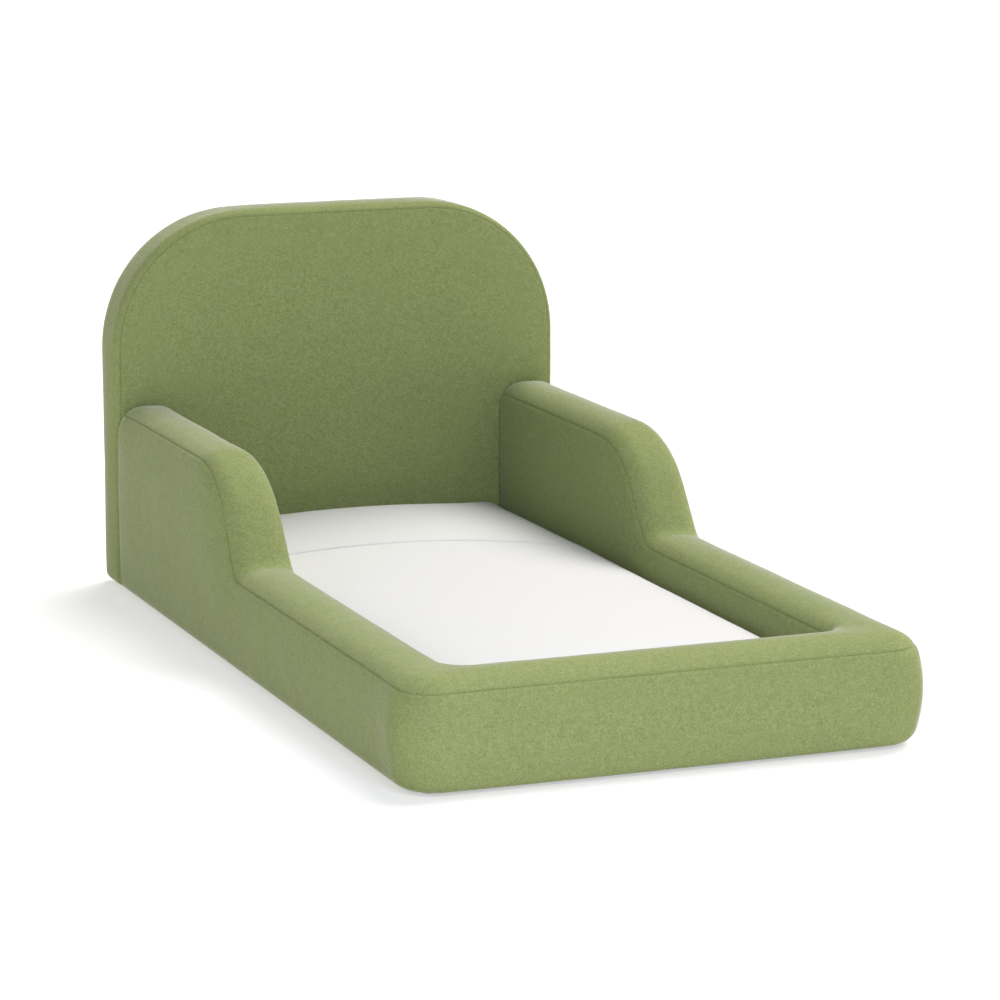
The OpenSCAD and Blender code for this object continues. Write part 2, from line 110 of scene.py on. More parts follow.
def make_camera():
    data = bpy.data.cameras.new("camera")
    data.sensor_width = 36
    data.lens = FOCAL_PIXELS * data.sensor_width / IMAGE_PIXELS
    data.clip_start = 0.1
    data.clip_end = 300
    camera = bpy.data.objects.new("camera", data)
    back = Vector((
        math.sin(CAMERA_AZIMUTH) * math.cos(CAMERA_ELEVATION),
        -math.cos(CAMERA_AZIMUTH) * math.cos(CAMERA_ELEVATION),
        math.sin(CAMERA_ELEVATION),
    ))
    camera.location = CAMERA_TARGET + back * CAMERA_DISTANCE
    camera.rotation_mode = "QUATERNION"
    camera.rotation_quaternion = (-back).to_track_quat("-Z", "Y")
    scene.collection.objects.link(camera)
    scene.camera = camera


def add_light(name, kind, location, aim, energy, colour, **settings):
    data = bpy.data.lights.new(name, kind)
    data.energy = energy
    data.color = colour
    for setting, value in settings.items():
        setattr(data, setting, value)
    light = bpy.data.objects.new(name, data)
    light.location = location
    light.rotation_mode = "QUATERNION"
    light.rotation_quaternion = (Vector(aim) - Vector(location)).to_track_quat("-Z", "Y")
    scene.collection.objects.link(light)


# Sockets of a Mix node that mixes colours
MIX_FACTOR, MIX_A, MIX_B, MIX_RESULT = 0, 6, 7, 2


def make_world(horizon, zenith):
    """Soft light from a white studio, brightest round its walls. Both tones are greys."""
    world = bpy.data.worlds.new("studio")
    world.use_nodes = True
    tree = world.node_tree
    tree.nodes.clear()
    kinds = ("TexCoord", "SeparateXYZ", "MapRange", "Mix", "Background", "OutputWorld")
    coords, split, ramp, mix, background, output = (tree.nodes.new("ShaderNode" + kind) for kind in kinds)
    mix.data_type = "RGBA"
    mix.inputs[MIX_A].default_value = (horizon, horizon, horizon, 1)
    mix.inputs[MIX_B].default_value = (zenith, zenith, zenith, 1)
    link = tree.links.new
    link(coords.outputs["Generated"], split.inputs[0])
    link(split.outputs["Z"], ramp.inputs["Value"])
    link(ramp.outputs["Result"], mix.inputs[MIX_FACTOR])
    link(mix.outputs[MIX_RESULT], background.inputs["Color"])
    link(background.outputs["Background"], output.inputs["Surface"])
    scene.world = world


make_camera()
make_world(horizon=0.90, zenith=0.06)
# A distant light, as wide as a large window so that its shadows stay soft, and a lamp in front
add_light("top", "SUN", location=(2.0, 1.0, 3.4), aim=(0, 0, 0), energy=3.6, colour=(1.0, 0.97, 0.91),
          angle=math.radians(48))
add_light("front", "AREA", location=(-0.7, -4.2, 2.3), aim=(0, -0.7, 0.1), energy=66,
          colour=(0.95, 0.98, 1.2), shape="DISK", size=1.8)

# ---- shader helpers


class Shader:
    """A node material with one Principled BSDF, built up by small calls. Scales are per metre."""

    def __init__(self, name, roughness, **sockets):
        self.material = bpy.data.materials.new(name)
        self.material.use_nodes = True
        self.tree = self.material.node_tree
        self.bsdf = self.tree.nodes["Principled BSDF"]
        self.bsdf.inputs["Roughness"].default_value = roughness
        self.set_sockets(self.bsdf, sockets)
        self.coords = self.tree.nodes.new("ShaderNodeTexCoord").outputs["Object"]

    def set_sockets(self, node, sockets):
        for name, value in sockets.items():
            node.inputs[name.replace("_", " ")].default_value = value

    def link(self, source, target):
        self.tree.links.new(source, target)

    def feed(self, socket, value):
        """Gives a socket its number or colour, or links it to an output."""
        if isinstance(value, tuple):
            socket.default_value = (*value, 1)
        elif isinstance(value, (int, float)):
            socket.default_value = value
        else:
            self.link(value, socket)

    def texture(self, kind, vector=None, **sockets):
        """A node that reads the object's own coordinates, or the given vector."""
        node = self.tree.nodes.new(kind)
        self.set_sockets(node, sockets)
        self.link(vector or self.coords, node.inputs["Vector"])
        return node

    def scaled(self, scale):
        return self.texture("ShaderNodeMapping", Scale=scale).outputs["Vector"]

    def noise(self, scale, detail=2, vector=None, roughness=0.5):
        node = self.texture("ShaderNodeTexNoise", vector, Scale=scale, Detail=detail, Roughness=roughness)
        return node.outputs["Fac"]

    def voronoi(self, scale):
        node = self.texture("ShaderNodeTexVoronoi", Scale=scale)
        node.feature = "SMOOTH_F1"
        return node.outputs["Distance"]

    def wave(self, scale, direction, vector=None, distortion=0, detail_scale=1):
        node = self.texture("ShaderNodeTexWave", vector, Scale=scale, Distortion=distortion,
                            Detail_Scale=detail_scale)
        node.bands_direction = direction
        return node.outputs["Fac"]

    def remap(self, value, low, high, to_low=0.0, to_high=1.0):
        node = self.tree.nodes.new("ShaderNodeMapRange")
        self.link(value, node.inputs["Value"])
        self.set_sockets(node, {"From Min": low, "From Max": high, "To Min": to_low, "To Max": to_high})
        return node.outputs["Result"]

    def maths(self, operation, a, b):
        node = self.tree.nodes.new("ShaderNodeMath")
        node.operation = operation
        self.feed(node.inputs[0], a)
        self.feed(node.inputs[1], b)
        return node.outputs["Value"]

    def mix(self, factor, a, b, blend="MIX"):
        node = self.tree.nodes.new("ShaderNodeMix")
        node.data_type = "RGBA"
        node.blend_type = blend
        self.feed(node.inputs[MIX_FACTOR], factor)
        self.feed(node.inputs[MIX_A], a)
        self.feed(node.inputs[MIX_B], b)
        return node.outputs[MIX_RESULT]

    def multiplied(self, colour, factor, low, high):
        """The colour times a second one that runs from low to high with the factor."""
        return self.mix(1.0, colour, self.mix(factor, low, high), "MULTIPLY")

    def bump(self, height, distance, strength, normal=None):
        node = self.tree.nodes.new("ShaderNodeBump")
        self.set_sockets(node, {"Distance": distance, "Strength": strength})
        self.link(height, node.inputs["Height"])
        if normal is not None:
            self.link(normal, node.inputs["Normal"])
        return node.outputs["Normal"]

    def finish(self, colour, normal=None, roughness=None):
        for name, output in (("Base Color", colour), ("Normal", normal), ("Roughness", roughness)):
            if output is not None:
                self.link(output, self.bsdf.inputs[name])
        return self.material


# ---- materials

DARK_YARN = (0.186, 0.222, 0.072)
PALE_YARN = (0.284, 0.330, 0.148)
GREEN_STRAND = (0.230, 0.284, 0.100)
KNIT_HOLLOW = (0.615, 0.618, 0.625)
KNIT_THREAD = (0.705, 0.708, 0.715)
KNIT_CLOUD = (0.650, 0.653, 0.660)
PINE_PALE = (0.74, 0.56, 0.34)
PINE_DARK = (0.52, 0.33, 0.16)
BIRCH_PALE = (0.72, 0.55, 0.35)
BIRCH_DARK = (0.60, 0.42, 0.24)
GLUE_LINE = (0.28, 0.17, 0.09)


def plush():
    """Short-pile green upholstery fleece, heathered from two shades of yarn."""
    s = Shader("plush_green", 0.95, Specular_IOR_Level=0.15, Sheen_Weight=1.0, Sheen_Roughness=0.2,
               Sheen_Tint=(1.0, 0.96, 0.95, 1))
    fleck = s.remap(s.noise(390), 0.34, 0.66)
    strands = s.remap(s.noise(1, vector=s.scaled((240, 240, 460))), 0.36, 0.64)
    mottle = s.remap(s.noise(85, 3, roughness=0.6), 0.36, 0.64)
    clouds = s.remap(s.noise(18, 3), 0.32, 0.68)
    yarn = s.mix(fleck, DARK_YARN, PALE_YARN)
    yarn = s.mix(s.maths("MULTIPLY", strands, 0.4), yarn, GREEN_STRAND)
    brushed = s.multiplied(yarn, mottle, (0.98, 0.985, 0.975), (1.08, 1.07, 1.09))
    worn = s.multiplied(brushed, clouds, (0.985, 0.99, 1.015), (1.02, 1.00, 0.985))
    loops = s.maths("SUBTRACT", s.noise(900, 1), s.voronoi(520))
    pile = s.bump(loops, 0.0007, 0.5)
    return s.finish(worn, s.bump(s.noise(95), 0.0011, 0.35, pile))


def knit():
    """Fine white jersey of the mattress cover."""
    s = Shader("knit_white", 0.85, Specular_IOR_Level=0.2)
    courses = s.wave(150, "Y", s.scaled((0.15, 1, 1)), distortion=3, detail_scale=2)
    clouds = s.remap(s.noise(11, 3), 0.3, 0.7)
    thread = s.mix(courses, KNIT_HOLLOW, KNIT_THREAD)
    colour = s.mix(s.maths("MULTIPLY", clouds, 0.3), thread, KNIT_CLOUD)
    loops = s.maths("SUBTRACT", courses, s.voronoi(700))
    return s.finish(colour, s.bump(loops, 0.0004, 0.6))


def thread_dark_with_painted_shade():
    """Twisted polyester thread. Its dark grey is painted shade that stands in for the shadow in the gap
    along the mattress's cross seam.
    """
    s = Shader("thread_painted_seam_shade", 0.6)
    twist = s.wave(700, "DIAGONAL", distortion=0.5)
    # Dark greys: painted shade of the seam's gap, carried on the stitches
    colour = s.mix(twist, (0.13, 0.13, 0.13), (0.22, 0.22, 0.21))
    return s.finish(colour, s.bump(twist, 0.0002, 0.6))


def non_woven():
    """Black spun-bonded dust cover with its pattern of bond points."""
    s = Shader("non_woven_black", 0.9)
    fibres = s.remap(s.noise(900, 3), 0.35, 0.65)
    colour = s.mix(fibres, (0.010, 0.010, 0.011), (0.035, 0.035, 0.037))
    return s.finish(colour, s.bump(s.voronoi(420), 0.0003, 0.8))


def pine(name, along):
    """Sawn softwood with its grain along the given axis."""
    s = Shader(name, 0.55)
    grain = s.scaled(tuple(1.2 if axis == along else 22 for axis in "xyz"))
    across = "Y" if along == "x" else "X"
    rings = s.wave(1.6, across, grain, distortion=6, detail_scale=1.4)
    pores = s.remap(s.noise(14, 4, grain, 0.65), 0.35, 0.65)
    tone = s.remap(s.noise(2.5), 0.3, 0.7)
    colour = s.mix(s.maths("MULTIPLY", rings, 0.55), PINE_PALE, PINE_DARK)
    colour = s.mix(s.maths("MULTIPLY", pores, 0.35), colour, PINE_DARK)
    colour = s.mix(s.maths("MULTIPLY", tone, 0.25), colour, PINE_PALE)
    relief = s.maths("ADD", pores, s.maths("MULTIPLY", rings, 0.5))
    return s.finish(colour, s.bump(relief, 0.0003, 0.5), s.remap(pores, 0, 1, 0.48, 0.68))


def plywood(name, thickness_axis):
    """Birch plywood: rotary grain on its faces and glue lines along its edges."""
    s = Shader(name, 0.5)
    stretch = tuple(700 if axis == thickness_axis else 0 for axis in "xyz")
    plies = s.wave(0.32, thickness_axis.upper(), s.scaled(stretch))
    flame = s.noise(5, 4, s.scaled((1, 1, 6)), 0.6)
    face = s.mix(s.remap(flame, 0.35, 0.65), BIRCH_PALE, BIRCH_DARK)
    colour = s.mix(s.remap(plies, 0.08, 0.2), GLUE_LINE, face)
    return s.finish(colour, s.bump(flame, 0.0003, 0.4))


def metal(name, colour, roughness, scale):
    """Plated or blackened steel with a slightly uneven finish."""
    s = Shader(name, roughness, Metallic=1.0)
    spangle = s.remap(s.voronoi(scale), 0.0, 0.6)
    shade = s.mix(spangle, tuple(0.78 * c for c in colour), colour)
    rough = s.remap(s.noise(scale, 3), 0.3, 0.7, roughness - 0.08, roughness + 0.12)
    return s.finish(shade, s.bump(s.noise(scale * 3), 0.0001, 0.4), rough)


def nylon():
    """Moulded nylon of the glides, scuffed underneath."""
    s = Shader("nylon", 0.45)
    scuffs = s.remap(s.noise(260, 4), 0.4, 0.7)
    colour = s.mix(scuffs, (0.70, 0.69, 0.64), (0.58, 0.57, 0.53))
    return s.finish(colour, s.bump(scuffs, 0.0002, 0.4), s.remap(scuffs, 0, 1, 0.40, 0.62))


GREEN = plush()
WHITE = knit()
# The stitching's dark grey is painted shade along the mattress's cross seam
SEAM_SHADE_THREAD = thread_dark_with_painted_shade()

SLATS = [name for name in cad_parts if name.startswith("slat_") and name != "slat_screws"]


def on_both_sides(*parts):
    return [f"{side}_{part}" for side in ("left", "right") for part in parts]


NODE_MATERIALS = {
    plywood("ply_across_y", "y"): [
        "headboard_front_panel", "headboard_back_panel", "foot_outer_board", "foot_inner_board"],
    plywood("ply_across_x", "x"): on_both_sides("outer_board", "inner_board"),
    plywood("ply_across_z", "z"): ["foot_top_skin", *on_both_sides("top_skin")],
    pine("pine_along_z", "z"): [
        "headboard_left_post", "headboard_right_post", "foot_spacers",
        *on_both_sides("spacers", "end_block", "corner_block")],
    pine("pine_along_x", "x"): [
        "headboard_top_rail", "headboard_middle_rail", "headboard_bottom_rail", *SLATS],
    pine("pine_along_y", "y"): ["middle_beam", "beam_feet", *on_both_sides("ledger")],
    non_woven(): ["headboard_dust_cover", "foot_dust_cover", *on_both_sides("dust_cover")],
    metal("black_steel", (0.20, 0.20, 0.21), 0.38, 320): ["bolts"],
    metal("zinc", (0.66, 0.68, 0.70), 0.34, 420): [
        "washers", "tee_nuts", "board_screws", "ledger_screws", "slat_screws"],
    nylon(): ["glides"],
}

# In metres, as modifiers take them
WOOD_BEVEL = 0.0012
METAL_BEVEL = 0.0003
WELD_DISTANCE = 0.00002
SHARP_ANGLE = math.radians(40)
METAL_NODES = ("bolts", "washers", "tee_nuts")
UNBEVELLED_ENDINGS = ("_screws", "_dust_cover")


def dress_node(name, material):
    """Gives a CAD node its material and, where an edge shows, an eased arris."""
    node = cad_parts[name]
    if not node.material_slots:
        node.data.materials.append(material)
    for material_slot in node.material_slots:
        material_slot.material = material
    if name.endswith(UNBEVELLED_ENDINGS):
        return
    weld = node.modifiers.new("weld", "WELD")
    weld.merge_threshold = WELD_DISTANCE
    bevel = node.modifiers.new("bevel", "BEVEL")
    bevel.width = METAL_BEVEL if name in METAL_NODES else WOOD_BEVEL
    bevel.segments = 2
    bevel.limit_method = "ANGLE"
    bevel.angle_limit = SHARP_ANGLE


for material, names in NODE_MATERIALS.items():
    for name in names:
        dress_node(name, material)

# ---- seams and foam

# Rows of points lie at these distances either side of a seam
SEAM_ROWS = (1.5, 4, 8)
# A seam is a narrow groove in a wide shallow hollow, with puckers beside it
SEAM_DEPTH = 2.8
SEAM_WIDTH = 1.3
SEAM_HOLLOW = 0.6
HOLLOW_WIDTH = 7.0
SEAM_CREASE = 0.8
PUCKER = 0.5
PUCKER_FROM_SEAM = 5
PUCKER_SPREAD = 4.5
# [share, wavelength] of the puckers, and [height, wavelength] of the foam's unevenness
PUCKER_WAVES = ((1.0, 17), (0.6, 39.1))
FOAM_WAVES = ((0.8, 150), (0.35, 48))
# The foam's unevenness starts FOAM_START from a seam, and is full FOAM_RISE further on
FOAM_START = 4
FOAM_RISE = 30
# Each seed is this far along the noise from the one before. The puckers' come after the foam's
SEED_SHIFT = (17.3, 5.1, 9.7)
PUCKER_SEED = 4


def waves(points, parts, seed):
    """Smooth noise at each point, summed over parts of the given heights and wavelengths."""
    total = np.zeros(len(points))
    for number, (height, wavelength) in enumerate(parts, seed):
        shift = Vector([step * number for step in SEED_SHIFT])
        total += height * np.array([noise.noise(Vector(p) / wavelength + shift) for p in points])
    return total


def sew(points, normals, distance, seed, depth):
    """Draws the cloth in along the seams: distance is each point's distance from its nearest seam."""
    groove = np.exp(-(distance / SEAM_WIDTH) ** 2) * depth
    hollow = np.exp(-(distance / HOLLOW_WIDTH) ** 2) * SEAM_HOLLOW
    beside = np.exp(-((distance - PUCKER_FROM_SEAM) / PUCKER_SPREAD) ** 2) * PUCKER
    pucker = beside * waves(points, PUCKER_WAVES, seed)
    return points + normals * (pucker - groove - hollow)[:, None]


# ---- mesh helpers


def mesh_object(name, points, faces, creases=()):
    """A closed mesh from points in millimetres. Creased edges are pairs of point numbers."""
    mesh = bpy.data.meshes.new(name)
    mesh.from_pydata([tuple(p) for p in np.asarray(points) * MM], [], faces)
    builder = bmesh.new()
    builder.from_mesh(mesh)
    bmesh.ops.recalc_face_normals(builder, faces=builder.faces)
    if len(creases):
        layer = builder.edges.layers.float.new("crease_edge")
        builder.verts.ensure_lookup_table()
        for a, b in creases:
            edge = builder.edges.get((builder.verts[a], builder.verts[b]))
            edge[layer] = SEAM_CREASE
    builder.to_mesh(mesh)
    builder.free()
    mesh.shade_smooth()
    piece = bpy.data.objects.new(name, mesh)
    scene.collection.objects.link(piece)
    return piece


def read(collection, attribute):
    """The given vector of every item, as rows."""
    values = np.empty(len(collection) * 3)
    collection.foreach_get(attribute, values)
    return values.reshape(-1, 3)


def get_points(piece):
    return read(piece.data.vertices, "co") / MM


def set_points(piece, points):
    piece.data.vertices.foreach_set("co", (points * MM).ravel())
    piece.data.update()


def get_normals(piece):
    return read(piece.data.vertex_normals, "vector")


def quads_between(first, second, closed=True):
    """Faces joining two rows of point numbers of the same length."""
    a = [int(number) for number in first]
    b = [int(number) for number in second]
    quads = list(zip(a, b, b[1:] + b[:1], a[1:] + a[:1]))
    return quads if closed else quads[:-1]


def swap_in_evaluated(piece):
    """Applies every modifier of a piece."""
    done = bpy.data.meshes.new_from_object(piece.evaluated_get(bpy.context.evaluated_depsgraph_get()))
    piece.modifiers.clear()
    piece.data = done


# ---- cloth simulation

SIM_FRAMES = 20
CLOTH = {
    "quality": 4,
    "mass": 0.15,
    "tension_stiffness": 15,
    "compression_stiffness": 10,
    "shear_stiffness": 5,
    "bending_stiffness": 0.6,
    "pin_stiffness": 1.0,
    "use_pressure": True,
    "uniform_pressure_force": 4,
}
EVENING_PASSES = 8


def inflate(piece, held, cap):
    """Lets the cloth swell over its filling: held points stay, and no point moves further than cap."""
    group = piece.vertex_groups.new(name="held")
    group.add([int(i) for i in np.flatnonzero(held)], 1.0, "REPLACE")
    cloth = piece.modifiers.new("cloth", "CLOTH")
    for name, value in CLOTH.items():
        setattr(cloth.settings, name, value)
    cloth.settings.vertex_group_mass = group.name
    cloth.settings.effector_weights.gravity = 0
    cloth.collision_settings.use_collision = False
    cloth.point_cache.frame_end = SIM_FRAMES
    for number in range(1, SIM_FRAMES + 1):
        scene.frame_set(number)
    swollen = piece.evaluated_get(bpy.context.evaluated_depsgraph_get())
    ends = read(swollen.data.vertices, "co") / MM
    piece.modifiers.remove(cloth)
    piece.vertex_groups.remove(group)
    scene.frame_set(1)
    start = get_points(piece)
    moved = ends - start
    length = np.linalg.norm(moved, axis=1, keepdims=True)
    moved *= cap * np.tanh(length / cap) / np.maximum(length, 1e-6)
    moved[held] = 0
    set_points(piece, start + evened(piece, moved, held))


def evened(piece, moved, held):
    """Averages each free point's movement with its neighbours', which takes out the stray creases."""
    edges = np.empty(len(piece.data.edges) * 2, int)
    piece.data.edges.foreach_get("vertices", edges)
    a, b = edges.reshape(-1, 2).T
    count = np.bincount(edges, minlength=len(moved))[:, None]
    for _ in range(EVENING_PASSES):
        total = np.zeros_like(moved)
        np.add.at(total, a, moved[b])
        np.add.at(total, b, moved[a])
        moved = 0.5 * moved + 0.5 * total / count
        moved[held] = 0
    return moved


def finish_soft(piece, held, distance, cap, seed, seam_depth=SEAM_DEPTH):
    """Simulation, uneven foam and sewing of one padded piece, then one subdivision."""
    inflate(piece, held, cap)
    free = np.clip((distance - FOAM_START) / FOAM_RISE, 0, 1) * ~held
    points = get_points(piece)
    swell = waves(points, FOAM_WAVES, seed) * free
    points = points + get_normals(piece) * swell[:, None]
    set_points(piece, points)
    set_points(piece, sew(points, get_normals(piece), distance, seed + PUCKER_SEED, seam_depth))
    smooth = piece.modifiers.new("smooth", "SUBSURF")
    smooth.levels = 1
    smooth.render_levels = 1


# ---- rounded outlines

# The four sides of a rounded outline, by the direction that each faces
SIDE_HEADINGS = tuple(math.radians(h) for h in (-90, 0, 90, 180))
HALF_CORNER = math.pi / 4


def outline_side(heading, centre_a, radius_a, centre_b, radius_b, shares):
    """Points and outward normals of one side, from the middle of one corner to the middle of the next,
    at the given shares of its length."""
    facing = np.array([math.cos(heading), math.sin(heading)])
    start = centre_a + radius_a * facing
    end = centre_b + radius_b * facing
    straight = np.linalg.norm(end - start)
    arc_a, arc_b = radius_a * HALF_CORNER, radius_b * HALF_CORNER
    points, normals = [], []
    for share in shares:
        s = share * (arc_a + straight + arc_b)
        if s < arc_a:
            angle = heading - HALF_CORNER + s / radius_a
            centre, radius = centre_a, radius_a
        elif s > arc_a + straight:
            angle = heading + (s - arc_a - straight) / radius_b
            centre, radius = centre_b, radius_b
        else:
            points.append(start + (end - start) * (s - arc_a) / straight)
            normals.append(facing)
            continue
        normal = np.array([math.cos(angle), math.sin(angle)])
        points.append(centre + radius * normal)
        normals.append(normal)
    return np.array(points), np.array(normals)


class Outline:
    """A rounded outline cut into four sides, so that rings of it close round a square grid of points."""

    def __init__(self, half_width, low, high, low_r, high_r, width_shares, height_shares):
        radii = (low_r, low_r, high_r, high_r)
        signs = (-1, 1, 1, -1)
        levels = (low + low_r, low + low_r, high - high_r, high - high_r)
        centres = [np.array([sign * (half_width - r), v]) for sign, r, v in zip(signs, radii, levels)]
        self.across = len(width_shares) - 1
        self.up = len(height_shares) - 1
        self.width_shares = width_shares
        self.height_shares = height_shares
        points, normals = [], []
        for k, heading in enumerate(SIDE_HEADINGS):
            shares = width_shares if k % 2 == 0 else height_shares
            if k > 1:
                shares = 1 - shares[::-1]
            n = (k + 1) % 4
            p, m = outline_side(heading, centres[k], radii[k], centres[n], radii[n], shares)
            points.append(p[:-1])
            normals.append(m[:-1])
        self.points = np.concatenate(points)
        self.normals = np.concatenate(normals)

    def ring(self, inset):
        return self.points - self.normals * inset

    def grid_numbers(self, ring_numbers, first_inner):
        """Point numbers of the square grid: its rim is the ring, and new points fill it."""
        a, b = self.across, self.up
        numbers = np.empty((a + 1, b + 1), int)
        numbers[1:-1, 1:-1] = first_inner + np.arange((a - 1) * (b - 1)).reshape(a - 1, b - 1)
        numbers[:, 0] = ring_numbers[: a + 1]
        numbers[a, :] = ring_numbers[a: a + b + 1]
        numbers[::-1, b] = ring_numbers[a + b: 2 * a + b + 1]
        numbers[0, ::-1] = np.append(ring_numbers[2 * a + b:], ring_numbers[0])
        return numbers

    def grid_points(self, ring):
        """Inner points of the grid, blended from its rim."""
        a, b = self.across, self.up
        low, right = ring[: a + 1], ring[a: a + b + 1]
        high = ring[a + b: 2 * a + b + 1][::-1]
        left = np.concatenate([ring[2 * a + b:], ring[:1]])[::-1]
        u = self.width_shares[:, None, None]
        v = self.height_shares[None, :, None]
        blend = (1 - v) * low[:, None] + v * high[:, None] + (1 - u) * left[None] + u * right[None]
        low_corners = (1 - u) * (1 - v) * low[0] + u * (1 - v) * low[-1]
        high_corners = (1 - u) * v * high[0] + u * v * high[-1]
        return (blend - low_corners - high_corners)[1:-1, 1:-1].reshape(-1, 2)


def ringed_solid(outline, profile, place):
    """A closed skin of rings, one for each [inset, depth] of the profile, with a grid at each end. place()
    turns plan points and depths into space. Returns points, faces and each point's ring number, -1 in
    the first grid and len(profile) in the last."""
    n = len(outline.points)
    rings = [outline.ring(inset) for inset, _ in profile]
    points = [place(ring, np.full(n, depth)) for ring, (_, depth) in zip(rings, profile)]
    numbers = [np.arange(n) + k * n for k in range(len(profile))]
    levels = [np.full(n, k) for k in range(len(profile))]
    faces = []
    for first, second in zip(numbers, numbers[1:]):
        faces += quads_between(first, second)
    count = n * len(profile)
    for end, level in ((0, -1), (-1, len(profile))):
        inner = outline.grid_points(rings[end])
        grid = outline.grid_numbers(numbers[end], count)
        points.append(place(inner, np.full(len(inner), profile[end][1])))
        levels.append(np.full(len(inner), level))
        for column, following in zip(grid, grid[1:]):
            faces += quads_between(column, following, closed=False)
        count += len(inner)
    return np.concatenate(points), faces, np.concatenate(levels)


# FAR stands for the distance to a seam where none is near. A point nearer than TOUCHING is on it
FAR = 1e3
TOUCHING = 0.1


def line_of_points(lines, level):
    """Each point's line in the profile, from its ring number. The grids are far from every seam."""
    return np.concatenate([[-FAR], lines, [FAR]])[level + 1]


def with_seams(start, end, step, seams):
    """Positions from start to end about step apart, with close rows either side of each seam."""
    fixed = sorted({s + k * sign for s in seams for k in (0, *SEAM_ROWS) for sign in (-1, 1)})
    marks = [start, *[f for f in fixed if start < f < end], end]
    rows = [start]
    for low, high in zip(marks, marks[1:]):
        count = max(1, round((high - low) / step))
        rows += [low + (high - low) * (k + 1) / count for k in range(count)]
    return np.array(rows)


def nearest(values, target):
    return int(np.argmin(abs(values - target)))


def ring_creases(points_per_ring, ring_number):
    first = points_per_ring * ring_number
    return [(first + k, first + (k + 1) % points_per_ring) for k in range(points_per_ring)]


# ---- headboard

# The cloth starts this far inside its space, round the edge and at the back
HEAD_INSET = 0.5
HEAD_BACK_INSET = 1
HEAD_FOOT_R = 16
# Distances of the front and back seams in from the edge
FRONT_SEAM = 11
BACK_SEAM = 18
HEAD_SWELL = 5
# Numbers of points across and up, and the step between rows round the edge
HEAD_ACROSS = 92
HEAD_UP = 70
HEAD_STEP = 10
# The section's rows run this far past the seams, on to the front and back faces
FRONT_MARGIN = 15
BACK_MARGIN = 8
# The cloth is held by a seam, along the foot, and where an arm or the mattress lies against the front
HELD_BY_SEAM = 4.5
HELD_FOOT = 8
HELD_DEPTH = 12
ARM_MARGIN_UP = 10
ARM_MARGIN_IN = 8
MATTRESS_MARGIN = 6
# [distance behind the back face, radius] down a bolt's well, from outside to its floor
WELL_PROFILE = ((6, 21), (1, 17), (-1.2, 14.8), (-3, 13.6), (-13, 13.6))
WELL_CORNERS = 48

FRONT_ARC = FRONT_R * math.pi / 2
BACK_ARC = BACK_R * math.pi / 2
BAND = HEAD_T - FRONT_R - BACK_R


def headboard_profile(line):
    """[inset, depth] at a distance along the headboard's section, measured from where the front face
    starts to turn round the edge."""
    if line < 0:
        return FRONT_R - line, 0
    if line < FRONT_ARC:
        a = line / FRONT_R
        return FRONT_R - FRONT_R * math.sin(a), FRONT_R - FRONT_R * math.cos(a)
    if line < FRONT_ARC + BAND:
        return 0, FRONT_R + line - FRONT_ARC
    if line < FRONT_ARC + BAND + BACK_ARC:
        a = (line - FRONT_ARC - BAND) / BACK_R
        return BACK_R - BACK_R * math.cos(a), HEAD_T - BACK_R + BACK_R * math.sin(a)
    return BACK_R + line - FRONT_ARC - BAND - BACK_ARC, HEAD_T


def make_headboard():
    outline = Outline(
        HALF_W - HEAD_INSET, BOTTOM_Z, HEAD_H - HEAD_INSET, HEAD_FOOT_R, HEAD_R,
        np.linspace(0, 1, HEAD_ACROSS), np.linspace(0, 1, HEAD_UP))
    front_line = FRONT_R * math.asin(1 - FRONT_SEAM / FRONT_R)
    back_line = FRONT_ARC + BAND + BACK_R * math.acos(1 - BACK_SEAM / BACK_R)
    seams = front_line, back_line
    lines = with_seams(front_line - FRONT_MARGIN, back_line + BACK_MARGIN, HEAD_STEP, seams)
    profile = [headboard_profile(line) for line in lines]

    def place(plan, depth):
        y = np.clip(FACE_Y + depth, FACE_Y + HEAD_INSET, HEAD_Y - HEAD_BACK_INSET)
        return np.column_stack([plan[:, 0], y, plan[:, 1]])

    points, faces, level = ringed_solid(outline, profile, place)
    creases = [edge for seam in seams for edge in ring_creases(len(outline.points), nearest(lines, seam))]
    line = line_of_points(lines, level)
    distance = np.minimum(abs(line - front_line), abs(line - back_line))
    piece = mesh_object("headboard", points, faces, creases)
    x, y, z = points.T
    in_front = y < FACE_Y + HELD_DEPTH
    by_arm = (z < ARM_H + ARM_MARGIN_UP) & (abs(x) > HALF_W - RAIL_W - ARM_MARGIN_IN)
    by_mattress = z < mattress_high[2] + MATTRESS_MARGIN
    held = (distance < HELD_BY_SEAM) | (z < BOTTOM_Z + HELD_FOOT) | (in_front & (by_arm | by_mattress))
    finish_soft(piece, held, distance, HEAD_SWELL, seed=11)
    cut_wells(piece)
    piece.data.materials.append(GREEN)
    return piece


def cut_wells(piece):
    """Round recesses at the back, where the bolts' heads and washers lie."""
    turns = np.arange(WELL_CORNERS) * 2 * math.pi / WELL_CORNERS
    points, faces = [], []
    for x in (-BOLT_X, BOLT_X):
        for z in BOLT_ZS:
            rings = []
            for behind, radius in WELL_PROFILE:
                rings.append([len(points) + k for k in range(WELL_CORNERS)])
                for a in turns:
                    points.append((x + radius * math.cos(a), HEAD_Y + behind, z + radius * math.sin(a)))
            for first, second in zip(rings, rings[1:]):
                faces += quads_between(first, second)
            faces += [tuple(rings[0]), tuple(rings[-1][::-1])]
    cutter = mesh_object("cutter", points, faces)
    wells = piece.modifiers.new("wells", "BOOLEAN")
    wells.operation = "DIFFERENCE"
    wells.solver = "EXACT"
    wells.object = cutter
    swap_in_evaluated(piece)
    bpy.data.objects.remove(cutter)


# ---- surround

